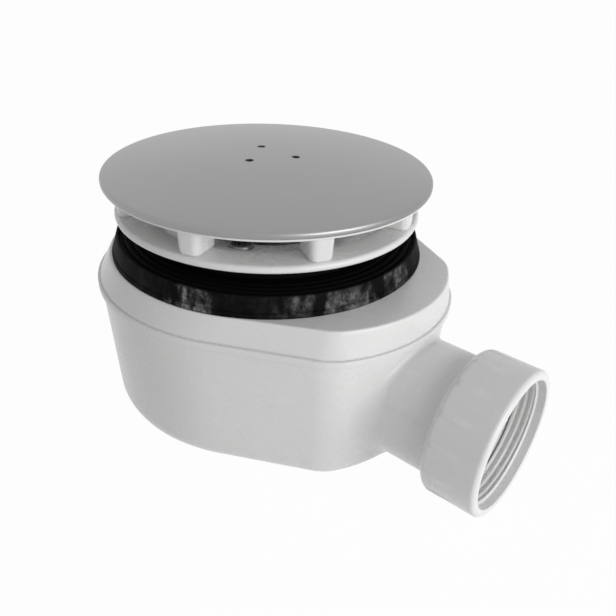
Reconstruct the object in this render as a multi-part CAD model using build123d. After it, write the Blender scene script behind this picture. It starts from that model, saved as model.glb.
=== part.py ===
"""Shower trap: an egg-shaped white trap body with a domed metal cover, a clamp flange that grips the
shower tray between two rubber seals, a lift-out dip tube and a swivelling outlet nut.

Millimetres. The outlet points along +X, +Z is up, the origin lies on the drain axis in the base plane.
"""
import os
from math import acos, atan2, cos, hypot, sin, sqrt

from build123d import *

# Cover
COVER_RADIUS = 60.0
COVER_RIM_Z = 92.7
COVER_RIM_HEIGHT = 3.1
COVER_RISE = 4.7
COVER_SHEET = 1.0
COVER_SHELF_DEPTH = 2.0
COVER_HOLE_RADIUS = 1.5
COVER_HOLE_CIRCLE = 10.0
COVER_HOLE_START = 30.0

# Cover insert and its feet
FOOT_COUNT = 8
FOOT_START = 15.5
FOOT_WIDTH = 6.6
FOOT_OUTER = 54.0
FOOT_INNER = 43.0
INSERT_RADIUS = 58.7
INSERT_HOLE = 22.0
INSERT_PLATE = 1.6

# Clamp flange
FLANGE_RADIUS = 56.3
FLANGE_TOP_Z = 83.0
FLANGE_THICKNESS = 2.7
FLANGE_LAND = 47.0
DISH_RADIUS = 34.5
DISH_DROP = 3.4
THROAT_OUTER = 33.0
THROAT_INNER = 31.0
THROAT_LOW_Z = 68.0
SHELF_HOLE = 28.3
SHELF_HEIGHT = 2.0

# Flange screws
SCREW_COUNT = 3
SCREW_START = -60.0
SCREW_CIRCLE = 38.3
SCREW_SEAT_Z = 80.2
SCREW_RADIUS = 2.4
SCREW_LENGTH = 17.0
HEAD_RADIUS = 4.0
HEAD_HEIGHT = 2.6
PAD_RADIUS = 4.5
PAD_LOW_Z = 76.4
INSERT_NUT_RADIUS = 3.5
INSERT_NUT_LENGTH = 9.0

# Seals
SEAL_FOOT_RADIUS = 58.9
SEAL_TOP_RADIUS = 56.6
SEAL_HEIGHT = 7.2
SEAL_BEAD_HEIGHT = 1.8
SEAL_LINE_DEPTH = 0.5
SEAL_HOLE = 43.0
SEAL_SLEEVE = 44.8
SEAL_SLEEVE_TOP_Z = 78.4
SEAL_GROOVES = (54.9, 52.3, 49.7)
SEAL_GROOVE_WIDTH, SEAL_GROOVE_DEPTH = 1.6, 1.6
UPPER_SEAL_THICKNESS = 0.9

# Plans of the body and of the smaller deck: a round back, two rounded corners and a bowed front on
# the outlet side, each as back centre, back radius, corner x, corner y, corner radius and front x
BODY_PLAN = (-4.0, 61.3, 45.5, 18.0, 22.2, 72.9)
DECK_PLAN = (-0.6, 59.4, 49.5, 21.6, 15.8, 72.5)

# Body heights and walls
DECK_Z = 65.8
DECK_THICKNESS = 2.6
JOINT_Z = 55.9
LIP_HEIGHT = 2.7
LIP_OFFSET = 1.5
SKIRT_FLARE = 0.8
WALL = 2.5
BOWL_TOP_OFFSET = 0.5
BOWL_DRAFT = 3.6
BASE_ROUND = 10.6
FLOOR = 2.8
NECK_OUTER, NECK_INNER = 42.5, 39.6
BOSS_RADIUS = 5.0
BOSS_LENGTH = 22.0

# Weir and outlet
WEIR_X, WEIR_THICKNESS, WEIR_TOP_Z = 39.0, 2.4, 44.0
OUTLET_Z = 29.0
SPIGOT_RADIUS = 22.2
SPIGOT_BORE = 18.2
SPIGOT_SHOULDER_X = 90.4
JOURNAL_RADIUS = 20.9
COLLAR_RADIUS = 22.0
COLLAR_X, COLLAR_LENGTH = 95.4, 2.6
SPIGOT_ROOT_FILLET = 5.0

# Dip tube
TUBE_OUTER, TUBE_INNER = 27.6, 25.6
TUBE_FOOT_Z = 13.0
TUBE_FLANGE_RADIUS = 30.6
TUBE_FLANGE_HEIGHT = 2.0
TUBE_GASKET = 1.5
TUBE_NOTCHES = 6

# Outlet nut, for a G 1 1/2 thread
NUT_RADIUS = 26.4
NUT_REAR_X, NUT_FRONT_X = 90.9, 111.0
NUT_BORE = 22.42
NUT_LIP_HOLE = 21.3
NUT_LIP_LENGTH = 4.1
NUT_RELIEF_RADIUS, NUT_RELIEF_LENGTH = 23.4, 5.9
NUT_RIBS = 15
NUT_RIB_START = 94.0
NUT_RIB_WIDTH, NUT_RIB_HEIGHT = 2.2, 0.35
WASHER_THICKNESS = 2.5


def revolved(points):
    """A ring turned about the drain axis from a list of (radius, height) points."""
    with BuildPart() as ring:
        with BuildSketch(Plane.XZ):
            with BuildLine():
                Polyline(*points, close=True)
            make_face()
        revolve(axis=Axis.Z)
    return ring.part


def tube(outer, inner, low, high):
    """A plain ring about the drain axis."""
    return revolved([(inner, low), (outer, low), (outer, high), (inner, high)])


def about_outlet(points):
    """A ring turned about the outlet axis from a list of (x, radius) points."""
    with BuildPart() as ring:
        with BuildSketch(Plane.XZ):
            with BuildLine():
                Polyline(*[(x, radius) for x, radius in points], close=True)
            make_face()
        revolve(axis=Axis.X)
    return Pos(0, 0, OUTLET_Z) * ring.part


def around(count, start, radius=0.0):
    """Places spread evenly about the drain axis, each turned to face outwards."""
    return [Rot(0, 0, start + 360.0 / count * k) * Pos(radius, 0, 0) for k in range(count)]


def edges_at(solid, height, radius, tolerance=0.05):
    """Circular edges about the drain axis at one height and radius."""
    return [edge for edge in solid.edges().filter_by(GeomType.CIRCLE)
            if abs(edge.center().Z - height) < tolerance and abs(edge.radius - radius) < tolerance]


def egg(plan, offset):
    """An egg-shaped outline, moved outwards by the offset."""
    back_centre, back_radius, corner_x, corner_y, corner_radius, front_x = plan
    reach = corner_x - back_centre
    side = atan2(corner_y, reach) + acos((back_radius - corner_radius) / hypot(reach, corner_y))
    inset = front_x - corner_radius
    front_centre = (inset ** 2 - corner_x ** 2 - corner_y ** 2) / (2 * (inset - corner_x))
    front_radius = front_x - front_centre
    bow = atan2(corner_y, corner_x - front_centre)

    def at(centre_x, centre_y, radius, angle):
        return (centre_x + (radius + offset) * cos(angle), centre_y + (radius + offset) * sin(angle))

    def corner(sign, angle):
        return at(corner_x, sign * corner_y, corner_radius, sign * angle)

    with BuildSketch() as outline:
        with BuildLine():
            ThreePointArc(corner(-1, bow), at(front_centre, 0, front_radius, 0), corner(1, bow))
            ThreePointArc(corner(1, bow), corner(1, (bow + side) / 2), corner(1, side))
            Line(corner(1, side), at(back_centre, 0, back_radius, side))
            ThreePointArc(at(back_centre, 0, back_radius, side), (back_centre - back_radius - offset, 0),
                          at(back_centre, 0, back_radius, -side))
            Line(at(back_centre, 0, back_radius, -side), corner(-1, side))
            ThreePointArc(corner(-1, side), corner(-1, (bow + side) / 2), corner(-1, bow))
        make_face()
    return outline.sketch


def band(low, high, low_offset, high_offset, high_plan=BODY_PLAN):
    """A slab that changes evenly from the body plan at its foot to a plan at its head."""
    if high_plan == BODY_PLAN and abs(low_offset - high_offset) < 1e-6:
        return extrude(Pos(0, 0, low) * egg(BODY_PLAN, low_offset), high - low)
    return loft([Pos(0, 0, low) * egg(BODY_PLAN, low_offset), Pos(0, 0, high) * egg(high_plan, high_offset)])


def dome_height(radius):
    """Height of the cover's outer face above its rim's upper edge."""
    sphere = (COVER_RADIUS ** 2 + COVER_RISE ** 2) / (2 * COVER_RISE)
    return sqrt(sphere ** 2 - radius ** 2) - (sphere - COVER_RISE)


def make_cover_plate():
    """Domed sheet with a turned-down rim, a thicker seat ring inside the rim and three holes."""
    top = COVER_RIM_Z + COVER_RIM_HEIGHT
    inside = COVER_RADIUS - COVER_SHEET
    shelf_z = COVER_RIM_Z + COVER_SHELF_DEPTH
    shelf_r = 55.5
    with BuildPart() as plate:
        with BuildSketch(Plane.XZ):
            with BuildLine():
                ThreePointArc((0, top + COVER_RISE), (32, top + dome_height(32)), (COVER_RADIUS, top))
                Polyline((COVER_RADIUS, top), (COVER_RADIUS, COVER_RIM_Z), (inside, COVER_RIM_Z),
                         (inside, shelf_z), (shelf_r, shelf_z),
                         (shelf_r, top + dome_height(shelf_r) - COVER_SHEET))
                ThreePointArc((shelf_r, top + dome_height(shelf_r) - COVER_SHEET),
                              (30, top + dome_height(30) - COVER_SHEET), (0, top + COVER_RISE - COVER_SHEET))
                Line((0, top + COVER_RISE - COVER_SHEET), (0, top + COVER_RISE))
            make_face()
        revolve(axis=Axis.Z)
    solid = fillet(edges_at(plate.part, top, COVER_RADIUS), 1.7)
    solid = fillet(edges_at(solid, COVER_RIM_Z, COVER_RADIUS), 0.45)
    for place in around(3, COVER_HOLE_START, COVER_HOLE_CIRCLE):
        solid -= place * Pos(0, 0, top) * Cylinder(COVER_HOLE_RADIUS, 20)
    return solid


def make_cover_insert():
    """Ring plate seated inside the cover, stiffened by two ring ribs, with radial feet below."""
    seat = COVER_RIM_Z + COVER_SHELF_DEPTH
    low = seat - INSERT_PLATE
    solid = tube(INSERT_RADIUS, INSERT_HOLE, low, seat)
    solid += tube(INSERT_HOLE + 1.8, INSERT_HOLE, low - 4.5, low)
    solid += tube(FOOT_INNER - 1.0, FOOT_INNER - 2.6, low - 2.5, low)
    length = FOOT_OUTER - FOOT_INNER
    with BuildPart() as foot:
        with BuildSketch(Plane.XY.offset(FLANGE_TOP_Z)):
            with Locations((FOOT_INNER + length / 2, 0)):
                RectangleRounded(length, FOOT_WIDTH, 1.6)
        extrude(amount=low - FLANGE_TOP_Z, taper=-2.5)
        fillet(foot.faces().sort_by(Axis.Z)[0].edges(), 1.1)
    for place in around(FOOT_COUNT, FOOT_START):
        solid += place * foot.part
    rib = Pos((INSERT_HOLE + FOOT_INNER) / 2, 0, low - 1.2) * Box(FOOT_INNER - INSERT_HOLE - 2, 1.6, 2.4)
    for place in around(FOOT_COUNT, FOOT_START):
        solid += place * rib
    return solid


def make_clamp_flange():
    """Dished ring with a flat land for the feet, screw pads and a throat that carries the dip tube."""
    low = FLANGE_TOP_Z - FLANGE_THICKNESS
    dish = FLANGE_TOP_Z - DISH_DROP
    slope_end = THROAT_OUTER + 4.0
    solid = revolved([
        (THROAT_INNER, dish - 1.2), (DISH_RADIUS - 1.5, dish), (DISH_RADIUS, dish),
        (FLANGE_LAND, FLANGE_TOP_Z), (FLANGE_RADIUS, FLANGE_TOP_Z),
        (FLANGE_RADIUS, low), (FLANGE_LAND - 0.6, low),
        (slope_end, dish - FLANGE_THICKNESS), (THROAT_OUTER, dish - FLANGE_THICKNESS - 0.3),
        (THROAT_OUTER, THROAT_LOW_Z), (SHELF_HOLE, THROAT_LOW_Z), (SHELF_HOLE, THROAT_LOW_Z + SHELF_HEIGHT),
        (THROAT_INNER, THROAT_LOW_Z + SHELF_HEIGHT)])
    solid = fillet(edges_at(solid, FLANGE_TOP_Z, FLANGE_RADIUS), 1.3)
    solid = fillet(edges_at(solid, low, FLANGE_RADIUS), 1.0)
    pad_height = SCREW_SEAT_Z - PAD_LOW_Z
    for place in around(SCREW_COUNT, SCREW_START, SCREW_CIRCLE):
        solid += place * Pos(0, 0, PAD_LOW_Z + pad_height / 2) * Cylinder(PAD_RADIUS, pad_height)
        solid -= place * Pos(0, 0, SCREW_SEAT_Z + 5) * Cylinder(PAD_RADIUS - 0.2, 10)
        solid -= place * Pos(0, 0, SCREW_SEAT_Z) * Cylinder(SCREW_RADIUS + 0.3, 20)
    return solid


def make_flange_screws():
    """Pan-head screws with a cross recess."""
    with BuildPart() as screw:
        with Locations((0, 0, SCREW_SEAT_Z + HEAD_HEIGHT / 2)):
            Cylinder(HEAD_RADIUS, HEAD_HEIGHT)
        fillet(screw.faces().sort_by(Axis.Z)[-1].edges(), 1.4)
        with Locations((0, 0, SCREW_SEAT_Z - SCREW_LENGTH / 2)):
            Cylinder(SCREW_RADIUS, SCREW_LENGTH)
        chamfer(screw.faces().sort_by(Axis.Z)[0].edges(), 0.6)
        for turn in (0, 90):
            with Locations(Pos(0, 0, SCREW_SEAT_Z + HEAD_HEIGHT) * Rot(0, 0, 25 + turn)):
                Box(4.6, 0.9, 2.6, mode=Mode.SUBTRACT)
    return Compound([place * screw.part.solid() for place in around(SCREW_COUNT, SCREW_START, SCREW_CIRCLE)])


def make_screw_inserts():
    """Brass threaded inserts in the housing bosses, grooved round the outside."""
    top = PAD_LOW_Z - 0.4
    middle = top - INSERT_NUT_LENGTH / 2
    radius, hole = INSERT_NUT_RADIUS, SCREW_RADIUS + 0.15
    low, waist = top - INSERT_NUT_LENGTH, radius - 0.4
    sleeve = revolved([(hole, low), (radius, low), (radius, middle - 0.8), (waist, middle - 0.8),
                       (waist, middle + 0.8), (radius, middle + 0.8), (radius, top), (hole, top)])
    return Compound([place * sleeve.solid() for place in around(SCREW_COUNT, SCREW_START, SCREW_CIRCLE)])


def make_upper_seal():
    """Thin flat ring bonded under the flange."""
    low = FLANGE_TOP_Z - FLANGE_THICKNESS
    return tube(FLANGE_RADIUS - 1.5, FLANGE_LAND - 0.4, low - UPPER_SEAL_THICKNESS, low)


def make_lower_seal():
    """Rubber ring: tapered outer wall, scored line above its foot, ribs on top, sleeve round the neck."""
    top = DECK_Z + SEAL_HEIGHT
    line_z = DECK_Z + SEAL_BEAD_HEIGHT
    line_radius = SEAL_FOOT_RADIUS - (SEAL_FOOT_RADIUS - SEAL_TOP_RADIUS) * SEAL_BEAD_HEIGHT / SEAL_HEIGHT
    points = [(SEAL_HOLE, DECK_Z), (SEAL_FOOT_RADIUS, DECK_Z), (line_radius + 0.1, line_z - 0.35),
              (line_radius - SEAL_LINE_DEPTH, line_z), (line_radius, line_z + 0.35), (SEAL_TOP_RADIUS, top)]
    half = SEAL_GROOVE_WIDTH / 2
    for groove in SEAL_GROOVES:
        points += [(groove + half, top), (groove + half - 0.3, top - SEAL_GROOVE_DEPTH),
                   (groove - half + 0.3, top - SEAL_GROOVE_DEPTH), (groove - half, top)]
    points += [(SEAL_SLEEVE, top), (SEAL_SLEEVE, SEAL_SLEEVE_TOP_Z), (SEAL_HOLE, SEAL_SLEEVE_TOP_Z)]
    return revolved(points)


def make_upper_housing():
    """Deck with a skirt flaring from the deck plan to the body plan, a neck and three screw bosses."""
    under = DECK_Z - DECK_THICKNESS
    solid = band(JOINT_Z, DECK_Z, SKIRT_FLARE, 0.0, DECK_PLAN)
    solid = fillet(solid.faces().sort_by(Axis.Z)[-1].outer_wire().edges(), 0.7)
    solid -= band(JOINT_Z, under, SKIRT_FLARE - WALL, -WALL, DECK_PLAN)
    solid += tube(NECK_OUTER, NECK_INNER, under, PAD_LOW_Z)
    boss_z = PAD_LOW_Z - BOSS_LENGTH / 2
    limit = Pos(0, 0, boss_z) * Cylinder(NECK_OUTER, BOSS_LENGTH)
    posts = [place * Pos(0, 0, boss_z) * Cylinder(BOSS_RADIUS, BOSS_LENGTH)
             for place in around(SCREW_COUNT, SCREW_START, SCREW_CIRCLE)]
    solid -= Pos(0, 0, DECK_Z) * Cylinder(NECK_INNER, 30)
    for post in posts:
        solid += post & limit
    for place in around(SCREW_COUNT, SCREW_START, SCREW_CIRCLE):
        solid -= place * Pos(0, 0, PAD_LOW_Z - INSERT_NUT_LENGTH / 2 - 0.2) * \
            Cylinder(INSERT_NUT_RADIUS, INSERT_NUT_LENGTH + 0.4)
        solid -= place * Pos(0, 0, PAD_LOW_Z - 8) * Cylinder(SCREW_RADIUS + 0.15, 20)
    return solid


def bowl_form(inset, base, rounding):
    """The bowl as a solid: the body plan drawn in towards a rounded base."""
    top = BOWL_TOP_OFFSET - inset
    form = band(base, JOINT_Z, top - BOWL_DRAFT, top)
    return fillet(form.faces().sort_by(Axis.Z)[0].outer_wire().edges(), rounding)


def on_spigot(point):
    """Whether a point lies on the spigot's outer face."""
    return abs(hypot(point.Y, point.Z - OUTLET_Z) - SPIGOT_RADIUS) < 0.05


def make_lower_bowl():
    """Bowl with a lip at the joint, the outlet spigot, its collar and a weir that keeps the water seal."""
    outer = bowl_form(0.0, 0.0, BASE_ROUND)
    hollow = bowl_form(WALL, FLOOR, BASE_ROUND - WALL)
    spigot = about_outlet([
        (WEIR_X, 0), (WEIR_X, SPIGOT_RADIUS), (SPIGOT_SHOULDER_X, SPIGOT_RADIUS),
        (SPIGOT_SHOULDER_X, JOURNAL_RADIUS), (COLLAR_X, JOURNAL_RADIUS), (COLLAR_X, COLLAR_RADIUS),
        (COLLAR_X + COLLAR_LENGTH, COLLAR_RADIUS), (COLLAR_X + COLLAR_LENGTH, 0)])
    solid = outer + spigot
    root = [edge for edge in solid.edges()
            if 50 < edge.center().X < SPIGOT_SHOULDER_X - 5
            and all(on_spigot(edge @ t) for t in (0.1, 0.5, 0.9))]
    solid = fillet(root, SPIGOT_ROOT_FILLET)
    lip = band(JOINT_Z - LIP_HEIGHT, JOINT_Z, LIP_OFFSET, LIP_OFFSET)
    solid += fillet(lip.faces().sort_by(Axis.Z)[0].outer_wire().edges(), 0.5)
    solid -= hollow
    solid -= about_outlet([(WEIR_X, 0), (WEIR_X, SPIGOT_BORE), (140, SPIGOT_BORE), (140, 0)])
    weir = Pos(WEIR_X - WEIR_THICKNESS / 2, 0, WEIR_TOP_Z / 2) * Box(WEIR_THICKNESS, 160, WEIR_TOP_Z)
    return solid + (weir & outer)


def make_dip_tube():
    """Open tube with a hanging flange, notches at its foot and a cross bar to lift it by."""
    shelf = THROAT_LOW_Z + SHELF_HEIGHT + TUBE_GASKET
    top = shelf + TUBE_FLANGE_HEIGHT
    solid = revolved([(TUBE_INNER, TUBE_FOOT_Z), (TUBE_OUTER, TUBE_FOOT_Z), (TUBE_OUTER, shelf),
                      (TUBE_FLANGE_RADIUS, shelf), (TUBE_FLANGE_RADIUS, top), (TUBE_INNER, top)])
    solid += Pos(0, 0, top - 3) * Box(2 * TUBE_INNER + 1, 3.2, 6)
    for place in around(TUBE_NOTCHES, 0, TUBE_OUTER):
        solid -= place * Pos(0, 0, TUBE_FOOT_Z) * Rot(0, 90, 0) * Cylinder(4.5, 8)
    return solid


def make_tube_gasket():
    """Flat ring between the throat's shelf and the dip tube's flange."""
    low = THROAT_LOW_Z + SHELF_HEIGHT
    return tube(TUBE_FLANGE_RADIUS, SHELF_HOLE + 0.1, low, low + TUBE_GASKET)


def make_outlet_nut():
    """Coupling nut with a rear lip behind the spigot's collar, rounded rims and shallow grip ribs."""
    lip_x = NUT_REAR_X + NUT_LIP_LENGTH
    thread_x = lip_x + NUT_RELIEF_LENGTH
    solid = about_outlet([
        (NUT_REAR_X, NUT_LIP_HOLE), (NUT_REAR_X, NUT_RADIUS - 2.4), (NUT_REAR_X + 0.7, NUT_RADIUS - 0.9),
        (NUT_REAR_X + 2.2, NUT_RADIUS), (NUT_FRONT_X - 2.2, NUT_RADIUS),
        (NUT_FRONT_X - 0.7, NUT_RADIUS - 0.6), (NUT_FRONT_X, NUT_RADIUS - 1.9),
        (NUT_FRONT_X, NUT_BORE + 0.7), (NUT_FRONT_X - 0.9, NUT_BORE), (thread_x, NUT_BORE),
        (thread_x, NUT_RELIEF_RADIUS), (lip_x, NUT_RELIEF_RADIUS), (lip_x, NUT_LIP_HOLE)])
    length = NUT_FRONT_X - NUT_REAR_X - 6.4
    rib = Pos(NUT_REAR_X + 2.4 + length / 2, NUT_RADIUS - 0.4, 0) * \
        Box(length, 2 * (NUT_RIB_HEIGHT + 0.4), NUT_RIB_WIDTH)
    rib = chamfer(rib.faces().sort_by(Axis.Y)[-1].edges(), 0.3)
    for k in range(NUT_RIBS):
        solid += Pos(0, 0, OUTLET_Z) * Rot(NUT_RIB_START + 360.0 / NUT_RIBS * k, 0, 0) * rib
    return solid


def make_outlet_washer():
    """Flat rubber washer on the end face of the spigot."""
    start = COLLAR_X + COLLAR_LENGTH
    return about_outlet([(start, SPIGOT_BORE + 0.3), (start, COLLAR_RADIUS - 0.1),
                         (start + WASHER_THICKNESS, COLLAR_RADIUS - 0.1),
                         (start + WASHER_THICKNESS, SPIGOT_BORE + 0.3)])


NODES = {
    "cover_plate": make_cover_plate,
    "cover_insert": make_cover_insert,
    "clamp_flange": make_clamp_flange,
    "flange_screws": make_flange_screws,
    "screw_inserts": make_screw_inserts,
    "upper_seal": make_upper_seal,
    "lower_seal": make_lower_seal,
    "upper_housing": make_upper_housing,
    "lower_bowl": make_lower_bowl,
    "dip_tube": make_dip_tube,
    "dip_tube_gasket": make_tube_gasket,
    "outlet_nut": make_outlet_nut,
    "outlet_washer": make_outlet_washer,
}

os.makedirs("parts", exist_ok=True)
for name, make in NODES.items():
    shape = make()
    export_step(shape, f"parts/{name}.step")
    box = shape.bounding_box()
    print(name, "solids", len(shape.solids()), "volume", round(shape.volume / 1000, 2), "cm3",
          "box", [round(v, 1) for v in (*box.min, *box.max)], flush=True)
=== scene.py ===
# %% [markdown]
# # A shower trap
# The trap hangs under a shower tray. A domed metal cover stands on a white clamp flange, two black
# rubber seals grip the tray, and an egg-shaped white body holds the water that keeps smells back.
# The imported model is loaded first. It fixes every size, so each piece below goes where it says.

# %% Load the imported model
from math import acos, atan2, cos, hypot, pi, radians, sin, sqrt

import bmesh
import bpy
from mathutils import Matrix, Vector


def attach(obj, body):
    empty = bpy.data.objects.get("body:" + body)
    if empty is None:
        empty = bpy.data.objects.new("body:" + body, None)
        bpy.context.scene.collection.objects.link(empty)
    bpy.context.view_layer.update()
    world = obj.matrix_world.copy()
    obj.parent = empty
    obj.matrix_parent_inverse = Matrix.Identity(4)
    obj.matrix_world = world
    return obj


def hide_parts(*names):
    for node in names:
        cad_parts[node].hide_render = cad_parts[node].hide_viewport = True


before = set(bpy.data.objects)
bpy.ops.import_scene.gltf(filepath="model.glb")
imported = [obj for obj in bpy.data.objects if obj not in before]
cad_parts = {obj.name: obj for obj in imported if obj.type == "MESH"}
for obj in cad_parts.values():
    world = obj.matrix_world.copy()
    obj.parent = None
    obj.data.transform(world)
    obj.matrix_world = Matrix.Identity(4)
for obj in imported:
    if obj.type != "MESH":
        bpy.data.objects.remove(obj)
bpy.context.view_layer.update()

MM = 0.001

# %% [markdown]
# ## Rings pulled into shape
# Nearly every piece of the trap is a profile carried round an axis: the drain, the outlet, or the
# egg-shaped plan of the body. One helper does them all. It adds a circle, extrudes its edge from
# ring to ring, and puts each ring's points where a small rule says. A spin could only make round
# pieces, so the extrusion is used, because the same steps then also follow the egg.

# %% A ring that is extruded along a profile
def start_clean():
    """Leave edit mode and deselect everything, so that an operator reaches only what comes next."""
    if bpy.context.object and bpy.context.object.mode != "OBJECT":
        bpy.ops.object.mode_set(mode="OBJECT")
    bpy.ops.object.select_all(action="DESELECT")


def activate(piece):
    """Select one piece alone and make it the active one."""
    start_clean()
    piece.select_set(True)
    bpy.context.view_layer.objects.active = piece


def open_edit(piece, action="DESELECT"):
    """Enter edit mode on a piece, with nothing or everything selected."""
    activate(piece)
    bpy.ops.object.mode_set(mode="EDIT")
    bpy.ops.mesh.select_all(action=action)


def carry(name, steps, stops, place, closed=True):
    """Extrude a circle from stop to stop; place(stop, step) gives each point in millimetres."""
    start_clean()
    bpy.ops.mesh.primitive_circle_add(vertices=steps, radius=0.01, location=(0, 0, 0))
    piece = bpy.context.object
    piece.name = piece.data.name = name
    bpy.ops.object.mode_set(mode="EDIT")
    mesh = bmesh.from_edit_mesh(piece.data)
    mesh.verts.layers.int.new("step")
    mesh.verts.ensure_lookup_table()
    step = mesh.verts.layers.int["step"]
    for k, vert in enumerate(mesh.verts):
        vert[step] = k
    for number, stop in enumerate(list(stops) + ([stops[0]] if closed else [])):
        if number:
            bpy.ops.mesh.extrude_region()
        mesh = bmesh.from_edit_mesh(piece.data)
        step = mesh.verts.layers.int["step"]
        for vert in mesh.verts:
            if vert.select:
                vert.co = Vector(place(stop, vert[step])) * MM
        bmesh.update_edit_mesh(piece.data)
    mesh = bmesh.from_edit_mesh(piece.data)
    mesh.verts.layers.int.remove(mesh.verts.layers.int["step"])
    bmesh.update_edit_mesh(piece.data)
    bpy.ops.mesh.select_all(action="SELECT")
    bpy.ops.mesh.remove_doubles(threshold=1e-6)
    bpy.ops.mesh.normals_make_consistent(inside=False)
    bpy.ops.object.mode_set(mode="OBJECT")
    return piece


def softened(points, arc_steps=4):
    """Round the corners of a profile: each point is (a, b) or (a, b, radius)."""
    count, out = len(points), []
    for k, point in enumerate(points):
        here = Vector(point[:2])
        radius = point[2] if len(point) > 2 else 0.0
        before = Vector(points[k - 1][:2]) - here
        after = Vector(points[(k + 1) % count][:2]) - here
        if radius <= 0 or before.length < 1e-6 or after.length < 1e-6:
            out.append(tuple(here))
            continue
        half = before.angle(after) / 2
        reach = min(radius / max(sin(half), 1e-4) * cos(half),
                    0.49 * before.length, 0.49 * after.length)
        radius = reach * sin(half) / max(cos(half), 1e-4)
        before.normalize(), after.normalize()
        centre = here + (before + after).normalized() * (radius / sin(half))
        first, last = here + before * reach - centre, here + after * reach - centre
        turn = first.angle_signed(last)
        for n in range(arc_steps + 1):
            spun = Matrix.Rotation(-turn * n / arc_steps, 2) @ first
            out.append(tuple(centre + spun))
    return out


def finish_mesh(piece, angle=30):
    """Shade a piece smooth except across edges sharper than the angle."""
    activate(piece)
    bpy.ops.object.shade_smooth_by_angle(angle=radians(angle))


def report(piece):
    """Print a piece's name, its number of faces and its box in millimetres."""
    corners = [Vector(v.co) / MM for v in piece.data.vertices]
    low = [round(min(c[k] for c in corners), 1) for k in range(3)]
    high = [round(max(c[k] for c in corners), 1) for k in range(3)]
    print(piece.name, len(piece.data.polygons), "faces, from", low, "to", high)


def drain_ring(steps):
    """Places round the drain axis for stops of (radius, height)."""
    return lambda stop, k: (stop[0] * cos(2 * pi * k / steps),
                            stop[0] * sin(2 * pi * k / steps), stop[1])


print("helpers ready")

# %% [markdown]
# ## Cutting with a tool
# Holes are cut as in a workshop: a tool with the hole's shape is put in place, a Boolean modifier
# takes it away from the piece, and the tool is thrown out.

# %% Cutting and joining
def combine(piece, tools, operation):
    """Apply one Boolean modifier per tool to the piece and remove the tools."""
    for tool in tools:
        activate(piece)
        cut = piece.modifiers.new("cut", "BOOLEAN")
        cut.operation, cut.solver, cut.object = operation, "EXACT", tool
        bpy.ops.object.modifier_apply(modifier=cut.name)
        bpy.data.objects.remove(tool, do_unlink=True)
    return piece


def rod(radius, low, high, x=0.0, y=0.0, steps=48):
    """An upright round tool between two heights."""
    start_clean()
    bpy.ops.mesh.primitive_cylinder_add(vertices=steps, radius=radius * MM, depth=(high - low) * MM,
                                        location=(x * MM, y * MM, (low + high) / 2 * MM))
    tool = bpy.context.object
    bpy.ops.object.transform_apply(location=True, rotation=True, scale=True)
    return tool


def round_places(count, start, radius):
    """Places (x, y, angle) spread evenly round the drain axis from a start in degrees."""
    angles = [radians(start + 360 / count * k) for k in range(count)]
    return [(radius * cos(a), radius * sin(a), a) for a in angles]


def moved_copies(piece, moves):
    """Copies of a piece, each with its own mesh moved by a matrix, in place of the piece itself."""
    copies = []
    for move in moves:
        copy = piece.copy()
        copy.data = piece.data.copy()
        bpy.context.collection.objects.link(copy)
        copy.data.transform(move)
        copies.append(copy)
    bpy.data.objects.remove(piece, do_unlink=True)
    return copies


PIECES = {}


def install(piece, body, slot, node, angle=30):
    """Finish a piece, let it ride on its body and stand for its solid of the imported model."""
    finish_mesh(piece, angle)
    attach(piece, body)
    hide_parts(node)
    PIECES[piece.name] = slot
    report(piece)


print("cutting tools ready")

# %% [markdown]
# ## The cover
# A disc of satin metal, slightly domed, with its rim turned down. Three small holes near the middle
# take the hook that lifts it. The profile is carried round the drain axis with a fine step, because
# the rim is the first outline the eye meets, and the holes are drilled afterwards.

# %% The domed cover
COVER_TOP_Z, COVER_RISE, COVER_RADIUS = 95.8, 4.7, 60.0
SPHERE = (COVER_RADIUS ** 2 + COVER_RISE ** 2) / (2 * COVER_RISE)


def dome(radius):
    """Height of the cover's outer face."""
    return COVER_TOP_Z + sqrt(SPHERE ** 2 - radius ** 2) - (SPHERE - COVER_RISE)


COVER_STEPS, SHEET, RIM_LOW_Z = 288, 1.0, 93.6
HOLE_COUNT, HOLE_START, HOLE_CIRCLE, HOLE_RADIUS = 3, 30, 10.0, 1.5
upper = [(r, dome(r)) for r in (0, 4, 8, 12, 16, 20, 25, 30, 35, 40, 45, 50, 54)]
rim = softened([
    (54.0, dome(54.0)), (COVER_RADIUS, COVER_TOP_Z, 1.5), (COVER_RADIUS, RIM_LOW_Z, 0.4),
    (59.0, RIM_LOW_Z, 0.3), (59.0, 94.7, 0.3), (55.5, 94.7, 0.3), (55.5, dome(55.5) - SHEET)], 7)[1:]
lower = [(r, dome(r) - SHEET) for r in (50, 40, 30, 20, 12, 8, 4, 0)]
cover = carry("cover", COVER_STEPS, upper + rim + lower, drain_ring(COVER_STEPS), closed=False)
holes = round_places(HOLE_COUNT, HOLE_START, HOLE_CIRCLE)
combine(cover, [rod(HOLE_RADIUS, 90, 110, x, y, 32) for x, y, _ in holes], "DIFFERENCE")
install(cover, "trap", "satin_metal", "cover_plate", angle=28)

# %% [markdown]
# ## The cover's insert
# Under the metal sits a white moulding: a ring plate with ribs, and eight feet that stand on the
# flange and hold the cover up, so that water runs in all round. Its edge shows as a thin white line
# under the metal rim. One foot is cut from a cube, drawn in towards its lower end and bevelled, then
# copied round the ring and fused to it.

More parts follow.
